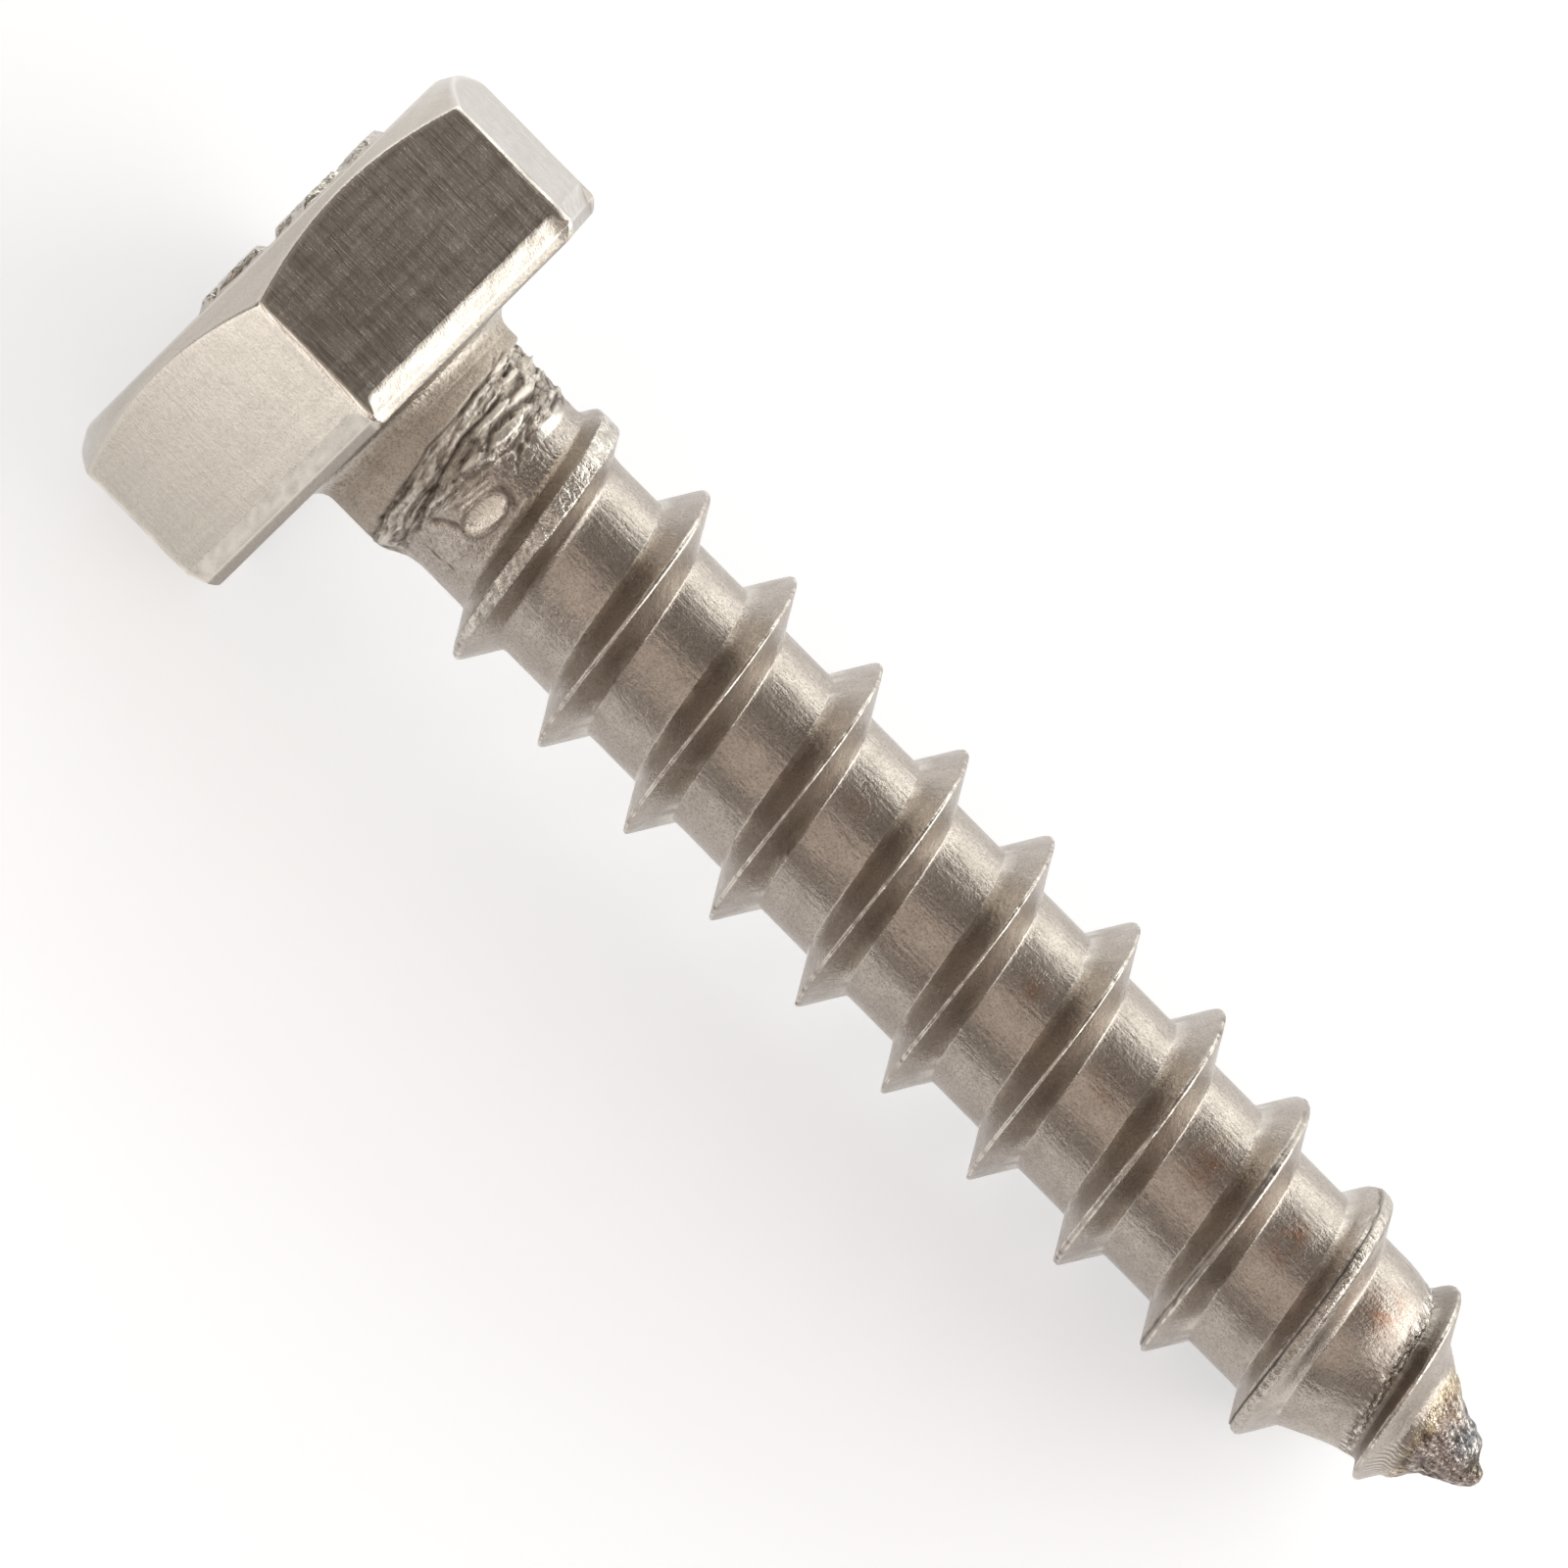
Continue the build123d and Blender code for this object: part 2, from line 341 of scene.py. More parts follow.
lumpy, fine = (lumps(r * np.cos(np.radians(a)) / size, r * np.sin(np.radians(a)) / size, 0, seed)
               for size, seed in ((0.22, 5), (0.12, 6)))
raised = raised * (s["padHeight"] - 0.035 + 0.02 * fine - 0.05 * ramp(lumpy, 0.1, 0.9))
onPad = ramp(raised, 0.05, 0.15)
topDepth = -s["headHeight"] - raised + 0.003 * (1 - lumpy) * (r < 4.8)
addRings(topDepth, r, rub=0.6 * onPad, dirt=0.25 * onPad * (lumpy > 0.2), coarse=onPad)

# Chamfer: a cone from the top circle out to the hexagon, then a rounded edge
cornerLine = bell(away, 0.75)[None, :]
slope = math.tan(math.radians(s["topChamfer"]))
edgeDepth = -s["headHeight"] + (hexReach - s["topCircle"]) * slope
edgeRub = bySide(s["edgeRub"], headAngle)
t = asColumn([0, 0.1, 0.3, 0.5, 0.7, 0.88, 1.0])
coneRadius = s["topCircle"] + 0.05 + (hexReach - s["topCircle"] - 0.085) * t
coneDepth = -s["headHeight"] + (coneRadius - s["topCircle"]) * slope + 0.004 * (t == 0)
addRings(coneDepth, coneRadius, rub=0.3 * (t == 0) + 0.5 * (t == 1) * edgeRub)
addRings(edgeDepth + 0.008, hexReach - 0.011, rub=0.8 * edgeRub)

# Sides with worn corners, down to the bevels, which fade out at the corners but for the worn one
fade = np.where(np.abs(turnFrom(s["wornCorner"], headAngle)) < 10, 1, ramp(np.abs(away), 0.5, 2.4))
bevelStart = -s["bevelAtCorner"] - (s["shallowLength"] + 0.022 * lumps(headAngle / 0.9, 0, 0, 12)) * fade
t = asColumn([0, 0.03, 0.1, 0.22, 0.36, 0.5, 0.64, 0.78, 0.9, 0.97, 1.0])
sideDepth = (edgeDepth + 0.045) * (1 - t) + (bevelStart - 0.02) * t
sideWave = 0.005 * lumps(headAngle / 9, sideDepth / 1.4, 0, 8)
chip = 0.035 * ramp(lumps(0 * headAngle + cornerAngle, sideDepth / 0.16, 0, 10), 0.1, 0.8)
ragged = ramp(lumps(headAngle / 1.1, sideDepth / 0.3, 0, 11), -0.7, 0.3)
sideRub = np.maximum((t == 0) * edgeRub, cornerLine * ragged)
sideReach = hexReach - 0.003 + sideWave * np.sin(np.pi * t) - chip * cornerLine
addRings(sideDepth, sideReach, rub=sideRub, coarse=0.08)

# Shallow bevel with a burred surface, then the short steep one
t = asColumn([0.0, 0.3, 0.65, 1.0])
burr = lumps(headAngle / 0.8, t * 3, 0, 9)
shallowReach = hexReach - 0.004 - (s["shallowDepth"] * fade + 0.01) * t + 0.008 * burr * fade
shallowEnd = -s["steepLength"] - 0.01
addRings((bevelStart + 0.01) * (1 - t) + shallowEnd * t, shallowReach,
         rub=np.maximum((0.3 + 0.3 * burr) * fade, cornerLine), coarse=0.06 * fade)
t = asColumn([0.0, 0.25, 0.5, 0.75, 1.0])
steepStart = 0.01 - s["steepLength"]
steepReach = hexReach - 0.02 - (s["shallowDepth"] + 0.005) * fade - (s["steepDepth"] - 0.08 * fade) * t ** 1.3
# the steep bevel is painted darker, a painted shade under the head
addRings(steepStart * (1 - t) - 0.012 * (t == 1), steepReach, rub=np.maximum(0.6 * (t == 0), 0.5 * (1 - fade)),
         dirt=0.28 * (t > 0) * fade, coarse=0.2 * (t > 0))

# Bearing face, where the columns spread evenly again, then the fillet into the neck
t = asColumn([0.04, 0.2, 0.45, 0.7, 0.92])
filletStart = s["neckRadius"] + s["underHeadFillet"]
spread = ramp(t, 0, 1)
bearingReach = (hexReach - 0.32 - 0.06 * fade) * (1 - t) + filletStart * t
addRings(0 * t, bearingReach, headAngle * (1 - spread) + evenAngle * spread)
t = np.radians(asColumn([8, 24, 40, 56, 73, 90]))
filletDepth, filletIn = s["underHeadFillet"] * (1 - np.cos(t)), s["underHeadFillet"] * np.sin(t)
addRings(filletDepth, filletStart - filletIn, evenAngle, coarse=0.3)
print("head done")

# Shank: the radius is a function of the angle, the depth and the distance from the nearest crest
pitch = s["pitch"]
flankRise = 1 / math.tan(math.radians(s["flank"]))
startCrest = s["crestPhase"] + pitch * startAngle / 360  # depth of the first crest at the start angle
startFoot = startCrest - s["footBefore"]


# 0 along the side of the shank turned up, 1 along the side turned down: half of 1 less the cosine from the first
def turnedDown(angle):
    return 0.5 - 0.5 * np.cos(np.radians(angle - lagScrew["upSide"]))


# Form of the core: the neck steps down into the torn run-out, which runs into the root. Hands back the radius, the
# distance past the torn edge in mm, and that as a share of the torn zone's width.
def runOutForm(wrapped, turned, depth):
    o, root = runOut, lagScrew["rootRadius"]
    ragged = 0.04 * lumps(wrapped / 11, 0, 0, 21) + 0.03 * lumps(wrapped / 3.5, 0, 0, 22)
    start = np.interp(wrapped, o["angle"], o["start"], period=360) + ragged
    along = depth - start
    share = along / np.interp(wrapped, o["angle"], o["width"], period=360)
    groove = root + np.interp(turned, *o["groove"])
    low = np.interp(turned, *o["low"])
    sloped = ramp(wrapped, 75, 105) * fall(wrapped, 150, 180)  # here it has no step
    step = ramp(share, 0.78 - 0.55 * sloped, 1.04)
    cut = ramp(along, -0.01, 0.03)
    core = lagScrew["neckRadius"] * (1 - cut) + (low * (1 - step) + groove * step) * cut
    full = ramp(depth, *o["plainRoot"])
    return core * (1 - full) + root * full, along, share


# Surface of the torn zone: pressed patches, and chips between them that are lower and cracked round the side
def brokenMetal(core, angle, wrapped, depth, along, share):
    o = runOut
    inside = ramp(along, 0.0, 0.03) * fall(share, 0.9, 1.08)
    smooth = np.zeros(np.shape(core))
    for patch in o["smooth"]:
        smooth = np.maximum(smooth, spot(angle, depth, *patch))
    smooth = ramp(smooth, 0.12, 0.32)
    warp = 0.35 * lumps(wrapped / 8, depth / 0.25, 0, 23)
    height, crease = chips(along / o["chipLength"] + warp, wrapped / o["chipBreadth"] + warp, 35)
    fineHeight, fineCrease = chips(along / o["fineLength"] + warp, wrapped / o["fineBreadth"], 45)
    cracked = ramp(wrapped, 8, 30)
    jagged = fall(wrapped, -60, -40)
    crack = fall(np.abs(lumps(along / 0.13 + 0.5 * warp, wrapped / 22, 0, 25)), 0.02, 0.16)
    rough = inside * (1 - 0.9 * smooth)
    rise = (0.06 - 0.032 * cracked + 0.035 * jagged) * height + 0.018 * fineHeight - 0.022 * cracked * crack
    core = core + rough * rise + 0.035 * smooth * inside
    smooth = smooth * ramp(along, 0.0, 0.03)
    core = core + 0.012 * smooth * (1 - inside)
    rub = np.maximum(0.75 * smooth, 0.75 * rough * ramp(height, 0.1, 0.35))
    dirt = 0.6 * crease * (1 - 0.5 * cracked) + 0.2 * fineCrease + 0.5 * cracked * crack
    dirt = rough * np.clip(dirt + 0.3 * ramp(-height, 0.0, 0.4), 0, 1)
    below = ramp(share, 0.9, 1.1) * fall(depth, 3.0, 4.2) * (1 - smooth)
    above = fall(depth, 0.4, 0.9) * fall(wrapped, 0, 40)
    coarse = np.maximum.reduce([0.4 * rough, 0.3 * below, 0.1 + 0.25 * above])
    return core, rub, dirt, coarse


# Cracks, ridges, the scooped oval and the stripes, one after another
def pressedMarks(core, angle, wrapped, depth, rub, dirt):
    wobble = lumps(wrapped / 3, depth / 0.12, 0, 24)
    for half, rise, mark, path in runOut["marks"]:
        near = pathDistance(angle, depth, path) + 0.35 * half * wobble
        core = core + rise * bell(near, half)
        onMark = bell(near, half * 0.9)
        dirt = np.maximum(dirt * (1 - 0.8 * (mark < 0) * bell(near, half)), max(mark, 0) * onMark)
        rub = np.maximum(rub * (1 - (mark > 0) * bell(near, half)), max(-mark, 0) * onMark)
    atAngle, atDepth, halfAngle, halfDepth = runOut["scoop"]
    oval = np.hypot(turnFrom(atAngle, angle) / halfAngle, (depth - atDepth) / halfDepth)
    inOval = fall(oval, 0.85, 1.0)
    core = core - 0.05 * np.clip(1 - oval ** 2, 0, 1) + 0.014 * bell(oval - 1, 0.12)
    rub = np.maximum(rub * (1 - inOval), 0.85 * inOval)
    dirt = np.maximum(dirt * (1 - inOval), 0.6 * bell(oval - 1.08, 0.09))
    for stripe in runOut["stripes"]:
        patch = ramp(spot(angle, depth, *stripe), 0.1, 0.4)
        wave = np.sin(2 * math.pi * (depth + 0.004 * (wrapped - stripe[0])) / runOut["stripeStep"])
        core = core + patch * 0.012 * wave
        # the stripes are painted: a highlight on each ridge and shade in each trough
        rub = np.maximum(rub, patch * (0.5 + 0.5 * wave))
        dirt = np.maximum(dirt * (1 - patch), -patch * 0.45 * wave)
    return core, rub, dirt, inOval


# The whole core with its marks
def coreRadius(angle, depth):
    wrapped = (angle + 90) % 360 - 90  # from -90 to 270 degrees
    turned = (angle - startAngle + 1e-6) % 360 / 360  # share of a turn since the strips start
    core, along, share = runOutForm(wrapped, turned, depth)
    core, rub, dirt, coarse = brokenMetal(core, angle, wrapped, depth, along, share)
    core, rub, dirt, inOval = pressedMarks(core, angle, wrapped, depth, rub, dirt)
    return core, {"rub": rub, "dirt": dirt, "coarse": coarse * (1 - 0.8 * inOval)}


# What rolling and wear left on the thread, in mm
wear = {
    # radius at which the lumps are laid out
    "crestSkin": 3.1, "firstCrestSkin": 2.7, "footSkin": 2.2, "lastTurnSkin": 2.0,
    # fold along the head's side of a flat crest, deepest in the last turns
    "fold": ([22.0, 23.5, 25.0, 27.9, 28.4], [0, 0.35, 1, 0.9, 0]),
    "foldDepth": 0.09, "foldHalf": 0.03, "nickDepth": 0.03,
    "edgeLineHalf": 0.018, "footLineHalf": 0.026,  # half widths
    # torn point: where it starts on the side turned up, and how much later on the other
    "tornStart": 29.58, "tornLater": 0.62,
    "pitDepth": 0.06,
    "crushedBefore": 0.46, "crushedHalf": 0.13, "crushedHeight": 0.05,
    "creasedSpot": (66, 30.08, 34, 0.42), "creaseStep": 0.11,
}


# Lumps that are the same right across the crest
def crestLumps(angle, crestAt, size, seed):
    return skinLumps(angle, crestAt, wear["crestSkin"], size, seed)


# Radius with the thread on: the core, or where it is higher the ridge, whose flanks fall from the sharp edge at the
# flank angle and whose crest is cut off where the rolled metal ended
def threadedRadius(angle, depth, crestAt):
    w = wear
    core, masks = coreRadius(angle, depth)
    down = turnedDown(angle)
    pointCore = np.interp(depth, *s["upperCore"]) * (1 - down) + np.interp(depth, *s["lowerCore"]) * down
    core = np.where(depth > s["lowerCore"][0][0], np.minimum(core, pointCore), core)
    across = depth - crestAt
    crest = np.interp(crestAt, *s["crest"])
    sharp = np.interp(crestAt, *s["sharp"])
    crest = crest + 0.014 * crestLumps(angle, crestAt, 0.5, 41) + 0.01 * crestLumps(angle, crestAt, 0.17, 42)
    halfFlat = np.maximum(sharp - crest, 0) / flankRise
    ridge = sharp - np.maximum(np.abs(across) * flankRise - 0.01, 0)
    foldPlace = across + halfFlat * 0.85 + 0.012 * crestLumps(angle, crestAt, 0.4, 43)
    foldLine = np.interp(crestAt, *w["fold"]) * bell(foldPlace, w["foldHalf"])
    nick = ramp(crestLumps(angle, crestAt, 0.12, 44), 0.45, 0.8) * (crestAt < 28)
    capped = softMin(ridge, crest - w["nickDepth"] * nick, 0.015) - w["foldDepth"] * foldLine
    started = ramp(crestAt, 1.9, 2.4)
    capped = capped * started + np.minimum(capped, core) * (1 - started)
    radius = softMax(capped, core, 0.045 * ramp(31.3 - depth, 0, 1.5) + 0.004)
    onRidge = ramp(capped - core, 0.02, 0.15)

    # crest edges and the feet of the flanks get painted highlights, with gaps; the crest edges are partly rubbed
    # bright too
    gaps = crestLumps(angle, crestAt, 0.16, 46) + 0.6 * crestLumps(angle, crestAt, 0.06, 47)
    fromEdge = np.abs(across) - halfFlat
    edgeHighlight = bell(fromEdge, w["edgeLineHalf"]) * onRidge * ramp(gaps, -0.4, 0.2)
    flatTop = onRidge * fall(fromEdge, -0.01, 0.03) * ramp(halfFlat, 0.06, 0.12)
    footGaps = ramp(skinLumps(angle, depth, w["footSkin"], 0.25, 48), -0.6, 0.3)
    footHighlight = bell(np.abs(across) - np.clip((sharp - core) / flankRise, 0, 0.6), w["footLineHalf"])
    footHighlight = footHighlight * ramp(crestAt, 4.5, 5.5) * fall(crestAt, 27.0, 28.0)
    firstCrest = flatTop * fall(crestAt, 4.2, 5.2)
    speckle = skinLumps(angle, depth, w["firstCrestSkin"], 0.08, 49)
    offRidge = 1 - onRidge
    # the crest and foot lines go into the rub mask as painted highlights
    rub = np.maximum.reduce([masks["rub"] * offRidge, 0.95 * edgeHighlight, 0.55 * footHighlight * footGaps, flatTop * 0.3,
                             firstCrest * (0.45 + 0.4 * ramp(speckle, 0.0, 0.35))])
    dirt = np.maximum.reduce([masks["dirt"] * offRidge, foldLine, nick * bell(across, 0.05) * 0.7,
                              firstCrest * 0.35 * ramp(-speckle, 0.05, 0.5)])
    coarse = np.maximum.reduce([masks["coarse"] * offRidge, 0.45 * flatTop, firstCrest * 0.5])
    return radius, onRidge, rub, dirt, coarse


# Adds the torn and pitted metal of the point
def tearPoint(angle, depth, radius, onRidge, rub, dirt, coarse):
    w = wear
    start = w["tornStart"] + w["tornLater"] * turnedDown(angle)
    torn = ramp(depth, start, start + 0.22) * (1 - onRidge)
    torn = np.maximum(torn, ramp(depth, 30.7, 31.0))
    taper = np.clip(radius / 0.6, 0.15, 1)
    grit = skinLumps(angle, depth, radius, 0.085, 54)
    lump, fineLump = (skinLumps(angle, depth, radius, size, seed) for size, seed in ((0.26, 51), (0.15, 52)))
    radius = radius + torn * taper * (0.045 * lump + 0.03 * fineLump)
    pit = ramp(skinLumps(angle, depth, radius, 0.2, 53), 0.3, 0.7)
    radius = radius + torn * taper * (0.01 * grit - w["pitDepth"] * pit)
    rub = np.maximum(rub, torn * 0.8 * ramp(grit, 0.25, 0.6) * (1 - pit))
    dirt = np.maximum(dirt, torn * np.maximum(0.8 * pit, 0.6 * ramp(-grit, 0.25, 0.6)))
    return radius, torn, rub, dirt, np.maximum(coarse, torn)


# Adds the crushed strip along the foot of the last crest, creased metal low on its side toward the point, and painted
# shade on that crest's flank toward the head
def crushLastTurn(angle, depth, crestAt, radius, rub, dirt, coarse):
    w = wear
    across = depth - crestAt
    crushed = np.clip(1.4 * bell(across + w["crushedBefore"], w["crushedHalf"]), 0, 1)
    crushed = crushed * ramp(crestAt, 28.2, 28.6) * fall(crestAt, 29.75, 30.0)
    crumb, largeCrumb, sway = (skinLumps(angle, depth, w["lastTurnSkin"], size, seed)
                               for size, seed in ((0.07, 61), (0.14, 62), (0.3, 63)))
    crumb = crumb + 0.5 * largeCrumb
    radius = radius + crushed * w["crushedHeight"] * crumb
    rub = np.maximum(rub * (1 - crushed), crushed * ramp(crumb, -0.08, 0.2))
    dirt = np.maximum(dirt, crushed * ramp(-crumb, 0.0, 0.35) * 0.4)
    coarse = np.maximum(coarse, 0.6 * crushed)
    # painted shade on the last crest's flank toward the head, laid into the dirt-and-shade mask
    paintedFlankShade = ramp(-across, 0.03, 0.08) * fall(-across, 0.28, 0.4)
    paintedFlankShade = paintedFlankShade * ramp(crestAt, 28.3, 28.7) * fall(crestAt, 29.9, 30.2)
    dirt = np.maximum(dirt, 0.45 * paintedFlankShade)
    creased = ramp(spot(angle, depth, *w["creasedSpot"]), 0.15, 0.5) * ramp(across, 0.05, 0.2)
    slanted = depth + 0.0145 * ((angle + 90) % 360 - 90 - w["creasedSpot"][0])
    wave = np.sin(2 * math.pi * slanted / w["creaseStep"] + 0.8 * sway)
    radius = radius + creased * 0.01 * wave
    # the creases are painted: a highlight on each ridge and shade in each trough
    rub, dirt = np.maximum(rub, creased * 0.6 * wave), np.maximum(dirt, -creased * 0.5 * wave)
    return radius, rub, dirt, coarse


# Whole radius with all its marks
def shankRadius(angle, depth, crestAt):
    radius, onRidge, rub, dirt, coarse = threadedRadius(angle, depth, crestAt)
    radius, torn, rub, dirt, coarse = tearPoint(angle, depth, radius, onRidge, rub, dirt, coarse)
    radius, rub, dirt, coarse = crushLastTurn(angle, depth, crestAt, radius, rub, dirt, coarse)
    return radius, {"rub": rub, "dirt": dirt, "coarse": coarse, "torn": torn}


# Rings from the fillet down to where the strips start
ringRows = np.concatenate([[0.46, 0.54, 0.6], np.arange(0.64, startFoot - 0.01, 0.037), [startFoot]])
depth = np.repeat(asColumn(ringRows), columns, 1)
angle = np.broadcast_to(evenAngle, depth.shape)
radius, neckMasks = shankRadius(angle, depth, startCrest + pitch * ((angle - startAngle) % 360) / 360)
blend = ramp(depth, 0.42, 0.6)
radius = s["neckRadius"] * (1 - blend) + radius * blend
addRings(depth, radius, angle, *(neckMasks[name] * blend for name in ("rub", "dirt", "coarse")))
ring = {name: np.concatenate(rows) for name, rows in rings.items()}
ring["torn"] = 0 * ring["depth"]
ringPoints = place(ring["angle"], ring["depth"], ring["radius"])

# Rows of a strip, as distances from its crest in mm: close at the crest's edges and at the feet. The wide first
# crest has its own, and so has the torn point.
foot = s["footBefore"]
knots = np.array([-foot, -0.6, -0.575, -0.545, -0.38, -0.22, -0.15, -0.115, -0.08, -0.05, -0.025, 0, 0.025, 0.055,
                  0.1, 0.18, 0.34, 0.545, 0.575, 0.6, foot, 0.8, 0.97, 1.14, 1.3, 1.45, 1.6, 1.74, pitch - foot])
startKnots = np.array([-foot, -0.55, -0.45, -0.37, -0.33, -0.3, -0.27, -0.24, -0.2, -0.15, -0.08, 0, 0.08, 0.15,
                       0.2, 0.24, 0.27, 0.3, 0.33, 0.37, 0.45, 0.55, foot, 0.85, 1.05, 1.25, 1.45, 1.66,
                       pitch - foot])
endKnots = np.array([-foot, -0.6, -0.55, -0.5, -0.45, -0.38, -0.25, -0.14, -0.08, -0.05, -0.025, 0, 0.03, 0.09,
                     0.2, 0.34, 0.44, 0.54, 0.64, 0.74, 0.85, 0.97, 1.1, 1.23, 1.36, 1.49, 1.62, 1.75, pitch - foot])


# The three sets of rows, blended down the thread
def rowKnots(crestAt):
    early = fall(crestAt, 4.0, 5.2)
    late = ramp(crestAt, 27.6, 28.4)
    return asColumn(knots) + early * asColumn(startKnots - knots) + late * asColumn(endKnots - knots)


# Depth of each row: those near the crest draw together where the thread gets lower, and the root's share the rest
def rowDepth(crestAt, k):
    close, nextClose = (np.interp(c, *s["drawnTogether"]) for c in (crestAt, crestAt + pitch))
    share = (k - foot) / (pitch - 2 * foot)
    root = (1 - share) * (crestAt + foot * close) + share * (crestAt + pitch - foot * nextClose)
    return np.where(k > foot, root, crestAt + k * close)


# Wedge from the last ring to the foot of the first crest, one turn long and nothing high where it starts. It has
# twice the rows of a strip, for the torn metal.
rows = len(knots) - 1
half = np.arange(2 * rows + 1) / 2
wedgeKnots = np.interp(half, np.arange(rows + 1), startKnots)
knotShare = (wedgeKnots + foot) / pitch
turned = np.arange(columns + 1)[None, :] / columns
near = ramp(turned, 0.9, 1.0)
rowShare = asColumn(half / rows) * (1 - near) + asColumn(knotShare) * near
wedgeAngle = startAngle + 360 * turned + 0 * rowShare
wedgeDepth = startFoot + pitch * turned * rowShare
wedgeCrest = startCrest + pitch * turned + 0 * rowShare
wedgeCrest[:, -1] = startCrest + pitch * (wedgeKnots > pitch / 2)  # its last column is the first of the strips
wedgeRadius, wedgeMasks = shankRadius(wedgeAngle, wedgeDepth, wedgeCrest)

# Helical strips, one a turn, from foot to foot
columnCount = s["turns"] * columns + 1
stripTurned = np.arange(columnCount)[None, :] / columns + 0 * asColumn(knots)
stripAngle = startAngle + 360 * stripTurned
stripCrest = startCrest + pitch * stripTurned
stripKnots = rowKnots(stripCrest[:1])
stripDepth = rowDepth(stripCrest[:1], stripKnots)
stripOwner = stripCrest + pitch * (stripKnots > pitch / 2)  # past mid-root, the next crest's
stripRadius, stripMasks = shankRadius(stripAngle, stripDepth, stripOwner)

# Wedge from the foot of the last crest to a ring near the tip. Beside the last turn its rows keep their distances
# where there is room, and the others share the rest.
lastColumn = stripDepth[:, -1:]
endRing = lastColumn[-1, 0]
topLine = stripDepth[-1:, -columns - 1:]  # the lower edge of the last turn
height = endRing - topLine
reach = lastColumn - lastColumn[0, 0]
kept = s["keptReach"]
exact = np.minimum(kept, 0.8 * height)
beyond = exact + (reach - kept) * (height - exact) / (reach[-1] - kept)
endAngle = startAngle + 360 * turned + 0 * reach
endDepth = topLine + np.where(reach <= kept, reach * exact / kept, beyond)
endCrest = startCrest + pitch * (s["turns"] + turned) + 0 * reach
endOwner = endCrest + pitch * ((stripKnots[:, -1:] > pitch / 2) & (turned == 0))
endRadius, endMasks = shankRadius(endAngle, endDepth, endOwner)
endRadius[:, -1] = endRadius[-1, 0]

tipReach, tipShare = (asColumn(v) for v in zip(*s["tipRings"]))
tipDepth = tipReach + endRing + 0 * evenAngle
tipRadius = endRadius[-1, :-1][None, :] * tipShare
print("shank done,", s["turns"], "turns")


# Quads of a grid of points, each running round the axis first and then down it
def gridFaces(start, rowCount, columnCount, wrap=False):
    last = columnCount if wrap else columnCount - 1
    row, column = np.meshgrid(np.arange(rowCount - 1), np.arange(last), indexing="ij")
    here, below = row * columnCount, (row + 1) * columnCount
    right = (column + 1) % columnCount
    quad = [here + column, here + right, below + right, below + column]
    return start + np.stack([q.ravel() for q in quad], 1)


blocks = [
    (ringPoints, True),
    (place(wedgeAngle, wedgeDepth, wedgeRadius), False),
    (place(stripAngle, stripDepth, stripRadius), False),
    (place(endAngle, endDepth, endRadius), False),
    (place(evenAngle + 0 * tipDepth, tipDepth, tipRadius), True),
]
points, faces, starts, count = [], [], [], 0
for block, wrap in blocks:
    starts.append(count)
    faces.append(gridFaces(count, block.shape[0], block.shape[1], wrap))
    points.append(block.reshape(-1, 3))
    count += block.shape[0] * block.shape[1]

# Five-sided faces in the strips' first column, to take up the wedge's rows in between
row = np.arange(rows)
firstQuads = faces[2].reshape(rows, columnCount - 1, 4)
between = starts[1] + (2 * row + 1) * (columns + 1) + columns
fiveSided = np.concatenate([firstQuads[:, 0], between[:, None]], 1)
faces[2] = firstQuads[:, 1:].reshape(-1, 4)

# The two poles, and the join from the end wedge to the tip
poles = bearingCentre + 0.001 * asColumn([-s["headHeight"], s["length"]]) * axisDir
points = np.concatenate(points + [poles])
k = np.arange(columns)
after = (k + 1) % columns
tipStart = count - columns
topFan = np.stack([np.full(columns, count), after, k], 1)
tipFan = np.stack([tipStart + k, tipStart + after, np.full(columns, count + 1)], 1)
wedgeLast = starts[4] - (columns + 1)
join = np.stack([wedgeLast + k, wedgeLast + k + 1, starts[4] + after, starts[4] + k], 1)
everyFace = [face for group in faces + [join, topFan, tipFan, fiveSided] for face in group.tolist()]

mesh = bpy.data.meshes.new("lagScrew")
mesh.from_pydata(points.tolist(), [], everyFace)
local = (points - bearingCentre) * 1000
depthAll = local @ axisDir
angleAll = np.degrees(np.arctan2(local @ sideDir, local @ flatDir))
values = {}
for name in ("rub", "dirt", "coarse", "torn"):
    parts = [ring[name].ravel()] + [masks[name].ravel() for masks in (wedgeMasks, stripMasks, endMasks)]
    tip = np.concatenate([np.tile(endMasks[name][-1, :-1], len(tipDepth)), [0, endMasks[name][-1, 0]]])
    values[name] = np.concatenate(parts + [tip])

# How far the point was heated, from 0 to 1, later on the side turned down
heat = {"start": 29.6, "length": 2.15, "later": 0.6}
later = heat["later"] * turnedDown(angleAll)
heated = (depthAll - heat["start"] - later) / (heat["length"] - later)
values["heated"] = heated + 0.1 * skinLumps(angleAll, depthAll, 1.0, 0.35, 71)
values["turnedDown"] = turnedDown(angleAll)

# Brown stains in some roots: angle, depth, half the angle, half the depth, and how strong
stains = [
    (6, 22.95, 18, 0.5, 0.7), (4, 25.3, 16, 0.35, 0.9), (-6, 27.7, 20, 0.45, 0.9), (12, 20.3, 14, 0.5, 0.6),
    (2, 12.6, 12, 0.5, 0.35), (8, 17.8, 12, 0.5, 0.45), (150, 15.0, 22, 0.6, 0.6), (-140, 19.9, 25, 0.6, 0.6),
]
values["stain"] = np.max([amount * spot(angleAll, depthAll, *patch) for *patch, amount in stains], 0)
values["onHead"] = fall(depthAll, 0.05, 0.3)
values["onThread"] = ramp(depthAll, 1.0, 2.6)

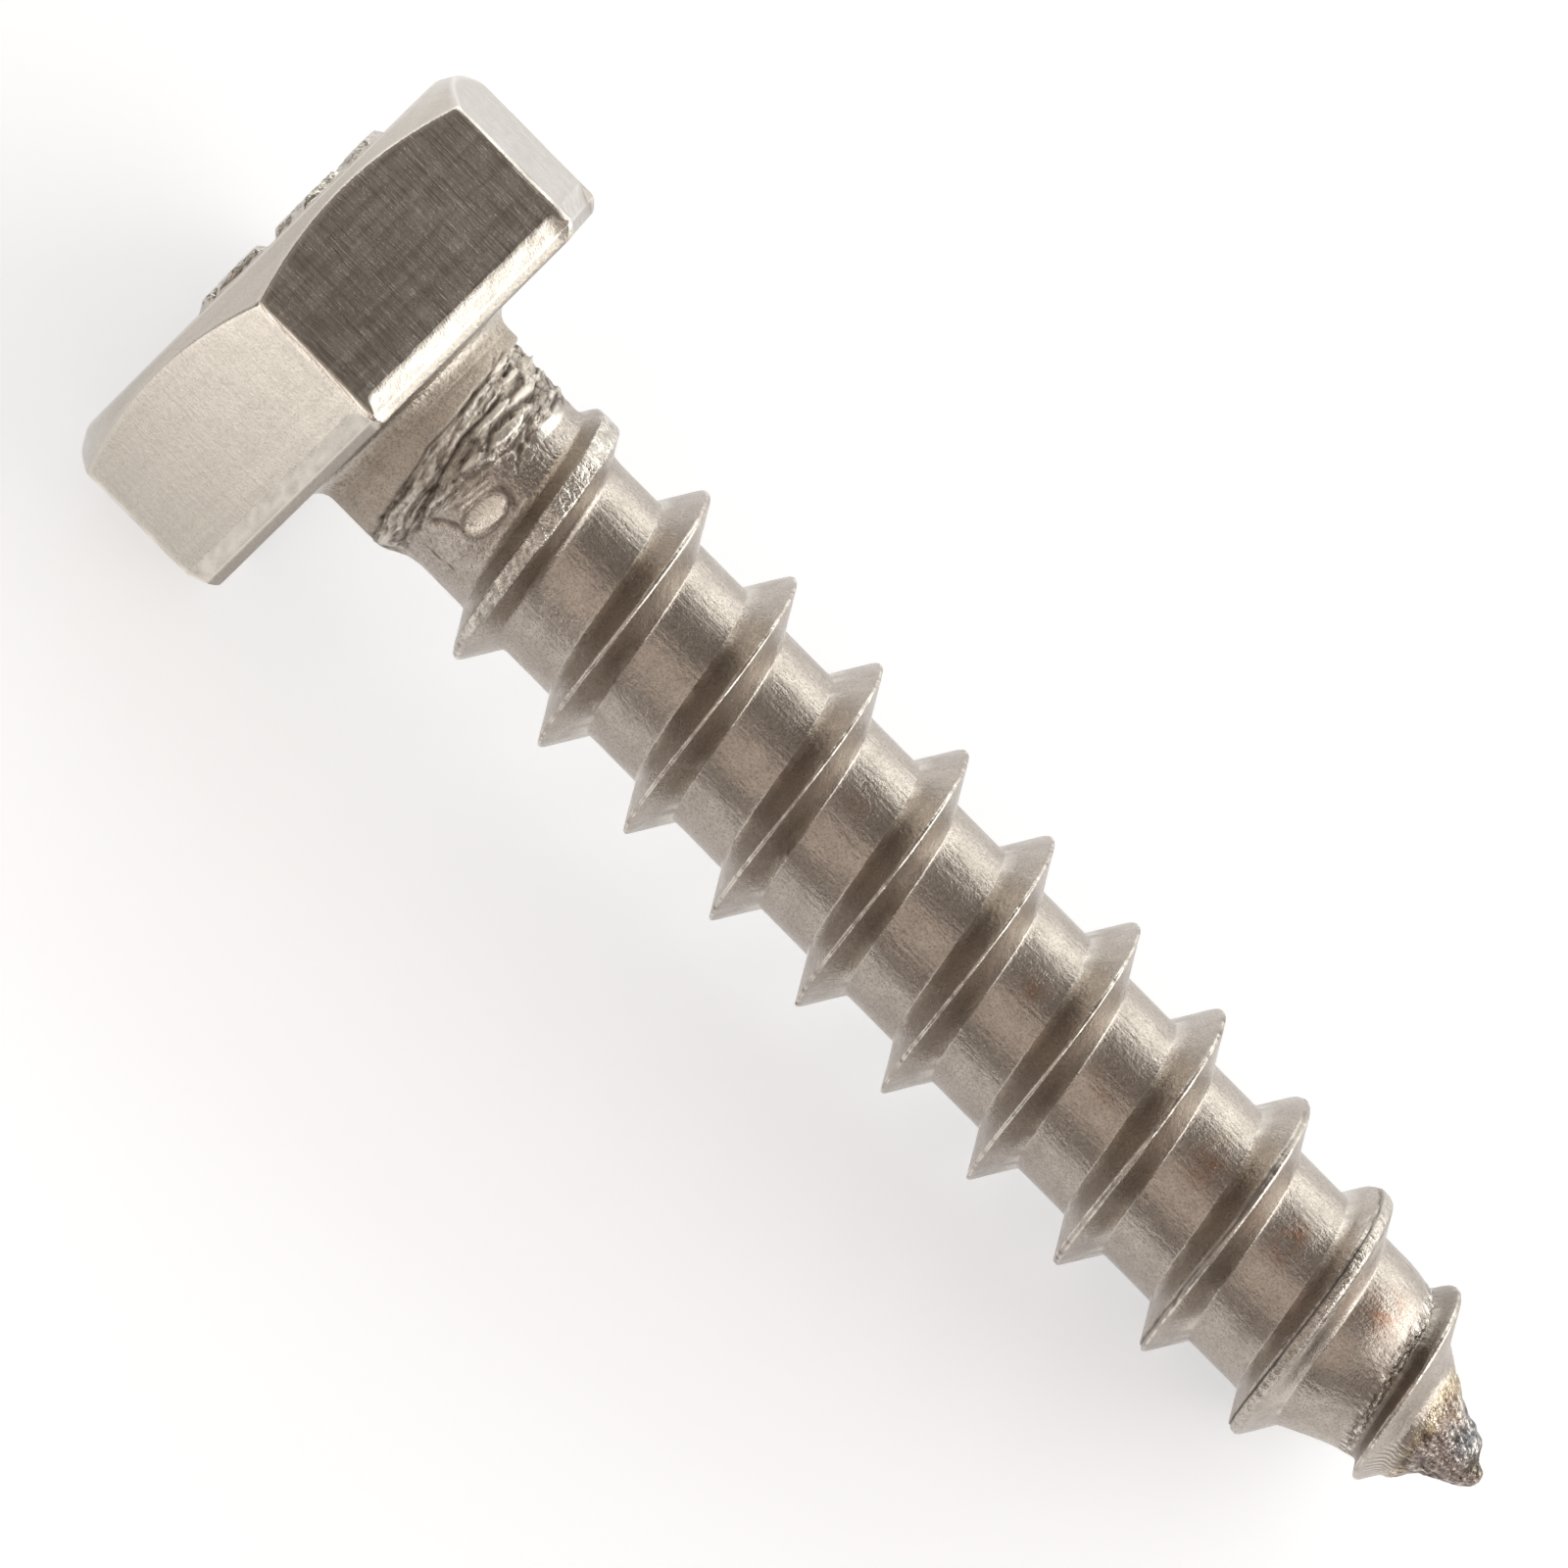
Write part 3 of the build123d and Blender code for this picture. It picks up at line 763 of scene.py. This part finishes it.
# How deeply the head is scored: each side, from the chamfer's edge to the steep bevel, by its own amount
chamferEdge = -s["headHeight"] + (apothem / np.cos(np.radians((angleAll + 30) % 60 - 30)) - s["topCircle"]) * slope
onSide = ramp(depthAll - chamferEdge, -0.03, 0.01) * fall(depthAll, -0.26, -0.2)
values["scored"] = values["onHead"] * (onSide * bySide(s["sideScored"], angleAll) + (1 - onSide) * s["topScored"])
for name, numbers in values.items():
    layer = mesh.attributes.new(name, "FLOAT", "POINT")
    layer.data.foreach_set("value", np.clip(numbers, 0, 1).astype(np.float32))
mesh.polygons.foreach_set("use_smooth", np.ones(len(mesh.polygons), bool))

bm = bmesh.new()
bm.from_mesh(mesh)
bmesh.ops.remove_doubles(bm, verts=bm.verts, dist=1.2e-7)
bm.to_mesh(mesh)
openEdges = sum(1 for edge in bm.edges if len(edge.link_faces) != 2)
volume = bm.calc_volume(signed=True)
bm.free()
mesh.update()
screwPiece = addObject("lagScrew", mesh)
triangles = sum(len(p.vertices) - 2 for p in mesh.polygons)
print(f"mesh done, {triangles} triangles, {openEdges} open edges, {volume * 1e9:.0f} mm3")


# sRGB hex to the linear colour that nodes take
def hexColour(text):
    channels = [int(text[i:i + 2], 16) / 255 for i in (1, 3, 5)]
    return [c / 12.92 if c <= 0.04045 else ((c + 0.055) / 1.055) ** 2.4 for c in channels] + [1.0]


# Adds one node with its settings, values and links, and hands back the socket of its result
def addNode(tree, kind, settings=None, inputs=None, output=0):
    node = tree.nodes.new("ShaderNode" + kind)
    for name, value in (settings or {}).items():
        setattr(node, name, value)
    for name, value in (inputs or {}).items():
        if isinstance(value, bpy.types.NodeSocket):
            tree.links.new(value, node.inputs[name])
        else:
            node.inputs[name].default_value = value
    return node.outputs[output] if node.outputs else None


# A new material with empty nodes, and the function that adds a node to it
def newMaterial(name):
    material = bpy.data.materials.new(name)
    material.use_nodes = True
    material.node_tree.nodes.clear()
    return material, partial(addNode, material.node_tree)


# Stainless steel, cold formed, rolled and tumbled: warm grey, satin and finely drawn on the head, grainy on the neck
# and in the roots, rubbed bright along its edges with painted highlights on the thread's edges and ripples, painted
# shade on the last flank, the ripples' troughs and the steep bevel, and straw, brown and blue grey at the point,
# which ran hot
steel = {
    # the rub colour also paints the highlights, and the dirt colour the painted shade
    "neckColour": "#c6bbae", "rolledColour": "#bab0a6", "headColour": "#c4bdb3",
    "rubColour": "#e6e0d6", "dirtColour": "#4a3f37", "stainColour": "#a5673f",
    "hotUnder": "#998780",  # the heated metal on the side turned down
    "heat": [(0.0, "#c9beb0"), (0.06, "#d3c5a8"), (0.16, "#c4a97d"), (0.26, "#9a8068"), (0.38, "#7b6a66"),
             (0.5, "#64646c"), (0.62, "#67707d"), (0.76, "#838282"), (1.0, "#a99d8a")],
    "neckRoughness": 0.62, "rolledRoughness": 0.28, "headRoughness": 0.24,
    "rubbedSmoother": -0.14, "dirtyDuller": 0.22,
    "neckMetallic": 0.62,  # a thin dull skin, thickest on the neck
    "rolledMetallic": 0.97,
    # size of each pattern in mm along the screw and across it, its detail and its roughness
    "patterns": {
        "grain": (0.045, 0.045, 3.0, 0.6),
        "speck": (0.1, 0.1, 2.0, 0.6),
        "mottle": (0.5, 0.5, 3.0, 0.55),
        "drawn": (1.4, 0.036, 3.0, 0.65),
        "streak": (0.8, 0.1, 2.0, 0.55),
        "bands": (0.26, 5.0, 2.0, 0.5),
    },
    # dirt in the patterns: the values it comes in between, how strong it gets, and where it lies
    "dirtIn": {
        "mottle": (0.4, 0.75, 0.18, "offHead"),
        "drawn": (0.46, 0.68, 0.44, "scored"),
        "bands": (0.4, 0.6, 0.24, "scored"),
        "grain": (0.46, 0.62, 0.34, "grained"),
    },
    # relief of the patterns: where it lies and how strong it is beside the grain
    "relief": [("drawn", "scored", 1.4), ("bands", "scored", 0.9), ("mottle", "scored", 2.0),
               ("mottle", "offHead", 3.5), ("streak", "offHead", 1.7), ("speck", "coarse", 13.0)],
    "reliefHeight": 0.000007,  # metres
}


def steelMaterial():
    material, add = newMaterial("coldFormedStainlessSteel")
    times, plus, minus, most = ({"operation": name} for name in ("MULTIPLY", "ADD", "SUBTRACT", "MAXIMUM"))
    ofColour = {"data_type": "RGBA"}
    value = {name: add("Attribute", {"attribute_name": name}, None, "Fac") for name in values}
    value["offHead"] = add("Math", minus, {0: 1.0, 1: value["onHead"]})
    value["grained"] = add("MapRange", None, {"Value": value["offHead"], "To Min": 0.35, "To Max": 1.0})
    objectPlace = add("TexCoord", None, None, "Object")
    noise = {}
    for name, (alongSize, acrossSize, detail, roughness) in steel["patterns"].items():
        size = (alongSize / 1000, acrossSize / 1000, acrossSize / 1000)
        turned = {"Vector": objectPlace, "Rotation": (0, dip, 0), "Scale": size}
        mapped = add("Mapping", {"vector_type": "TEXTURE"}, turned)
        pattern = {"Vector": mapped, "Scale": 1.0, "Detail": detail, "Roughness": roughness}
        noise[name] = add("TexNoise", None, pattern)

    # dirt in the patterns, and the stains
    dark = {}
    for name, (low, high, strength, place) in steel["dirtIn"].items():
        inputs = {"Value": noise[name], "From Min": low, "From Max": high, "To Max": strength}
        dark[name] = add("Math", times, {0: add("MapRange", None, inputs), 1: value[place]})
    stained = add("MapRange", None, {"Value": noise["mottle"], "From Min": 0.35, "From Max": 0.6})
    stained = add("Math", times, {0: stained, 1: value["stain"]})

    # heat colours of the point: a ramp, and one colour on the side turned down
    hot = add("ValToRGB", None, {"Fac": value["heated"]})
    stops = hot.node.color_ramp.elements
    for stop, (position, text) in zip(stops, (steel["heat"][0], steel["heat"][-1])):
        stop.position, stop.color = position, hexColour(text)
    for position, text in steel["heat"][1:-1]:
        stops.new(position).color = hexColour(text)
    under = add("MapRange", None, {"Value": value["turnedDown"], "From Min": 0.3, "From Max": 0.65})
    warm = add("MapRange", None, {"Value": value["heated"], "From Min": 0.08, "From Max": 0.25})
    under = add("Math", times, {0: under, 1: warm})
    hot = add("Mix", ofColour, {0: under, 6: hot, 7: hexColour(steel["hotUnder"])}, 2)
    hotAmount = add("Math", times, {0: value["torn"], 1: 0.8})

    # torn metal is flecked: dark in its pits and bright on its broken edges
    flecks = []
    for low, high, strength in ((0.53, 0.63, 0.75), (0.45, 0.36, 0.6)):
        inputs = {"Value": noise["speck"], "From Min": low, "From Max": high, "To Max": strength}
        flecks.append(add("Math", times, {0: add("MapRange", None, inputs), 1: value["coarse"]}))
    # the rub and dirt masks also carry the painted highlights and painted shade
    darkened = add("Math", most, {0: value["dirt"], 1: flecks[0]})
    brightened = add("Math", most, {0: value["rub"], 1: flecks[1]})

    # colour: layers laid one over another, each by its own amount
    tint = {name: hexColour(steel[name + "Colour"]) for name in ("neck", "rolled", "head", "rub", "dirt", "stain")}
    colour = tint["neck"]
    for amount, layer in (
        (value["onThread"], tint["rolled"]), (value["onHead"], tint["head"]), (dark["mottle"], tint["dirt"]),
        (dark["drawn"], tint["dirt"]), (dark["bands"], tint["dirt"]), (stained, tint["stain"]), (hotAmount, hot),
        (dark["grain"], tint["dirt"]), (brightened, tint["rub"]), (darkened, tint["dirt"]),
    ):
        colour = add("Mix", ofColour, {0: amount, 6: colour, 7: layer}, 2)

    # roughness: zone by zone, a little uneven, smoother where rubbed and duller where dirty
    rough = {0: value["onThread"], 2: steel["neckRoughness"], 3: steel["rolledRoughness"]}
    rough = {0: value["onHead"], 2: add("Mix", None, rough), 3: steel["headRoughness"]}
    uneven = {"Value": noise["mottle"], "From Min": 0.25, "From Max": 0.75, "To Min": -0.06, "To Max": 0.06}
    uneven = add("MapRange", None, uneven)
    rough = add("Math", plus, {0: add("Mix", None, rough), 1: uneven})
    for amount, change in ((brightened, steel["rubbedSmoother"]), (darkened, steel["dirtyDuller"])):
        rough = add("Math", plus, {0: rough, 1: add("Math", times, {0: amount, 1: change})})

    # relief: grain everywhere, and the other patterns on it in their places
    grainHeight = add("MapRange", None, {"Value": value["offHead"], "To Min": 0.7, "To Max": 1.2})
    relief = add("Math", times, {0: noise["grain"], 1: grainHeight})
    for name, place, strength in steel["relief"]:
        part = add("Math", times, {0: value[place], 1: strength})
        part = add("Math", times, {0: noise[name], 1: part})
        relief = add("Math", plus, {0: relief, 1: part})
    bump = {"Strength": 1.0, "Distance": steel["reliefHeight"], "Height": relief}
    bump = add("Bump", None, bump)

    metal = {0: value["onThread"], 2: steel["neckMetallic"], 3: steel["rolledMetallic"]}
    metal = add("Mix", None, {0: value["onHead"], 2: add("Mix", None, metal), 3: 1.0})
    skin = {"Base Color": colour, "Metallic": metal, "Roughness": rough, "Normal": bump}
    shader = add("BsdfPrincipled", None, skin)
    add("OutputMaterial", None, {"Surface": shader})
    return material


mesh.materials.append(steelMaterial())
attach(screwPiece, "root")
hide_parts("lag_screw")
print("steel done")

# Matt white board that reads as clean white to camera, mirror and glass rays
floor = {"half": 1.2, "colour": "#f2f2f2", "glow": 0.42, "glowColour": "#f4f9ff"}
floorMesh = bpy.data.meshes.new("floor")
h = floor["half"]
floorMesh.from_pydata([(-h, -h, 0), (h, -h, 0), (h, h, 0), (-h, h, 0)], [], [(0, 1, 2, 3)])
floorPiece = addObject("floor", floorMesh)
board, add = newMaterial("mattWhiteBoard")
seen = add("LightPath", None, None, "Is Camera Ray")
for ray in ("Is Glossy Ray", "Is Transmission Ray"):
    other = add("LightPath", None, None, ray)
    seen = add("Math", {"operation": "MAXIMUM"}, {0: seen, 1: other})
matt = add("BsdfDiffuse", None, {"Color": hexColour(floor["colour"])})
strength = add("Math", {"operation": "MULTIPLY"}, {0: seen, 1: floor["glow"]})
glow = add("Emission", None, {"Color": hexColour(floor["glowColour"]), "Strength": strength})
both = add("AddShader", None, {0: matt, 1: glow})
add("OutputMaterial", None, {"Surface": both})
floorMesh.materials.append(board)
print("floor done")

# Soft boxes: centre, the point each faces, width and height in metres, how bright each looks, and its colour
lights = {
    "backWindow": ((0, 0.3, 0.1), (0, 0, 0.1), 1.56, 0.2, 2.15, (0.95, 0.995, 0.985)),
    "pointWindow": ((0.26, 0.15, 0.16), (0, 0, 0.0), 0.36, 0.3, 2.0, (1, 0.99, 0.97)),
    "frontFill": ((0, -0.25, 0.36), (0, 0, 0), 0.9, 0.42, 0.55, (1, 0.9, 0.82)),
    "headCard": ((-0.017, -0.027, 0.015), (-0.017, 0, 0.0138), 0.011, 0.017, 1.32, (1, 0.98, 0.95)),
}
for name, (centre, facing, width, height, brightness, colour) in lights.items():
    light = bpy.data.lights.new(name, "AREA")
    light.shape = "RECTANGLE"
    light.size, light.size_y = width, height
    light.energy = brightness * math.pi * width * height
    light.color = colour
    box = addObject(name, light)
    box.visible_camera = False
    toward = (Vector(facing) - Vector(centre)).normalized()
    box.matrix_world = Matrix.Translation(centre) @ toward.to_track_quat("-Z", "Y").to_matrix().to_4x4()

# Dim warm room above
room = {"Color": (1.0, 0.88, 0.8, 1), "Strength": 0.25}
world = bpy.data.worlds.new("room")
bpy.context.scene.world = world
world.use_nodes = True
for name, setting in room.items():
    world.node_tree.nodes["Background"].inputs[name].default_value = setting
print("lights done")

# Camera over the shank, which runs down to the right: angles in degrees, distances in metres, lens and sensor in mm
view = {"toFlat": 23, "tipBack": 2.1, "roll": 45.28, "distance": 0.4, "alongAxis": 0.01122, "above": -0.000052,
        "lens": 441, "sensor": 36, "clipStart": 0.01}
turn, back, roll = (math.radians(view[name]) for name in ("toFlat", "tipBack", "roll"))
outward = math.cos(turn) * flatDir + math.sin(turn) * sideDir
upward = math.sin(turn) * flatDir - math.cos(turn) * sideDir
toCamera = math.cos(back) * outward - math.sin(back) * axisDir
alongView = math.cos(back) * axisDir + math.sin(back) * outward
target = bearingCentre + view["alongAxis"] * axisDir + view["above"] * upward
right = math.cos(roll) * alongView + math.sin(roll) * upward
up = -math.sin(roll) * alongView + math.cos(roll) * upward
cameraData = bpy.data.cameras.new("camera")
cameraData.lens = view["lens"]
cameraData.sensor_width = view["sensor"]
cameraData.clip_start = view["clipStart"]
camera = addObject("camera", cameraData)
cameraTurn = Matrix([list(right), list(up), list(toCamera)]).transposed().to_4x4()
camera.matrix_world = Matrix.Translation(Vector(target + view["distance"] * toCamera)) @ cameraTurn
bpy.context.scene.camera = camera
bpy.context.scene.view_settings.view_transform = "Standard"
print("camera done")
